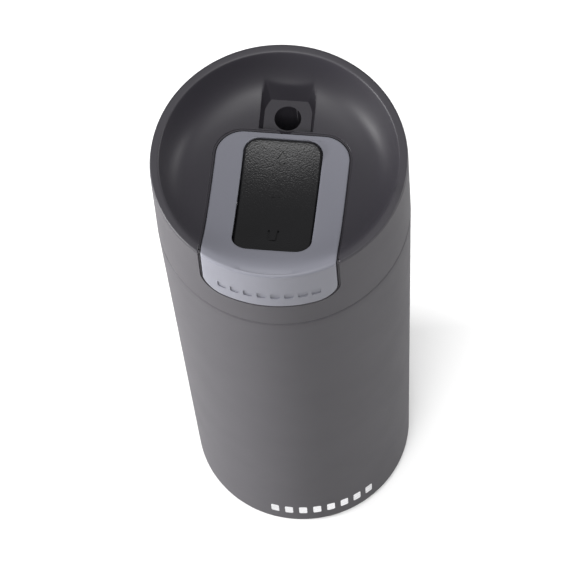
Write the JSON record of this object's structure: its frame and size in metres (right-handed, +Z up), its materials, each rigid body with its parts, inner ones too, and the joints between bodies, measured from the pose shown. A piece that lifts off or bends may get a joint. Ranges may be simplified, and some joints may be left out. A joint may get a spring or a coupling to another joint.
{
  "type": "insulated travel mug",
  "caption": "Tapered double-walled steel travel mug with a flush screw-on lid, sunken drinking bowl and a rocker-operated valve.",
  "frame": {"origin": "centre of the base, on the surface that the mug stands on", "axes": "+Z up along the mug's axis, -Y is the front with the trim plate and the rocker, +Y is the drinking spout's side, +X is the mug's right seen from the front"},
  "size_m": [0.08, 0.08, 0.205],
  "materials": {
    "grey_paint": "fine powder coat, satin to matte",
    "bare_steel": "drawn stainless steel, lightly brushed",
    "braze": "dull solidified bead",
    "getter_alloy": "sintered metal",
    "foot_silicone": "matte",
    "silicone": "matte silicone",
    "charcoal_plastic": "satin moulded",
    "slate_plastic": "satin moulded, slate grey",
    "inner_plastic": "moulded",
    "soft_black": "soft-touch, fine leather grain"
  },
  "bodies": {
    "mug": {"outer_shell": "grey_paint", "inner_vessel": "bare_steel", "base_plate": "bare_steel", "vacuum_seal": "braze", "getter": "getter_alloy", "base_pad": "foot_silicone"},
    "lid_seal": {"lid_gasket": "silicone"},
    "lid": {"lid_housing": "charcoal_plastic", "lid_collar": "grey_paint", "trim_plate": "slate_plastic", "lid_plug": "inner_plastic", "rocker_frame": "inner_plastic", "frame_screw_1": "bare_steel", "frame_screw_2": "bare_steel", "frame_screw_3": "bare_steel", "frame_screw_4": "bare_steel", "pin_bush_left": "silicone", "pin_bush_right": "silicone", "rocker_pin": "bare_steel", "detent_spring": "bare_steel"},
    "rocker": {"rocker_carrier": "inner_plastic", "rocker_pad": "soft_black"},
    "cartridge": {"cartridge_frame": "inner_plastic", "cartridge_ring": "silicone", "spout_seal": "silicone", "stem_seal": "silicone", "return_spring": "bare_steel"},
    "valve": {"valve_carriage": "inner_plastic", "stem_cap": "inner_plastic", "drink_seal": "silicone", "vent_seal": "silicone"}
  },
  "joints": [
    {"name": "lid_turn", "type": "hinge", "parent": "lid_seal", "child": "lid", "pos_m": [0, 0, 0], "axis": [0, 0, 1], "range_deg": [0, 720]},
    {"name": "lid_lift", "type": "slide", "parent": "mug", "child": "lid_seal", "axis": [0, 0, 1], "range_m": [0, 0.0301]},
    {"name": "rocker_tilt", "type": "hinge", "parent": "lid", "child": "rocker", "pos_m": [0, -0.008, 0.1878], "axis": [-1, 0, 0], "range_deg": [0, 9]},
    {"name": "cartridge_release", "type": "slide", "parent": "lid", "child": "cartridge", "axis": [0, 0, -1], "range_m": [0, 0.028]},
    {"name": "valve_slide", "type": "slide", "parent": "cartridge", "child": "valve", "axis": [0, 0, 1], "range_m": [0, 0.0023], "deforming": ["return_spring"]}
  ],
  "couplings": [
    {"joint": "lid_lift", "follows": "lid_turn", "m_per_rad": 0.0023873},
    {"joint": "valve_slide", "follows": "rocker_tilt", "m_per_rad": 0.014}
  ]
}
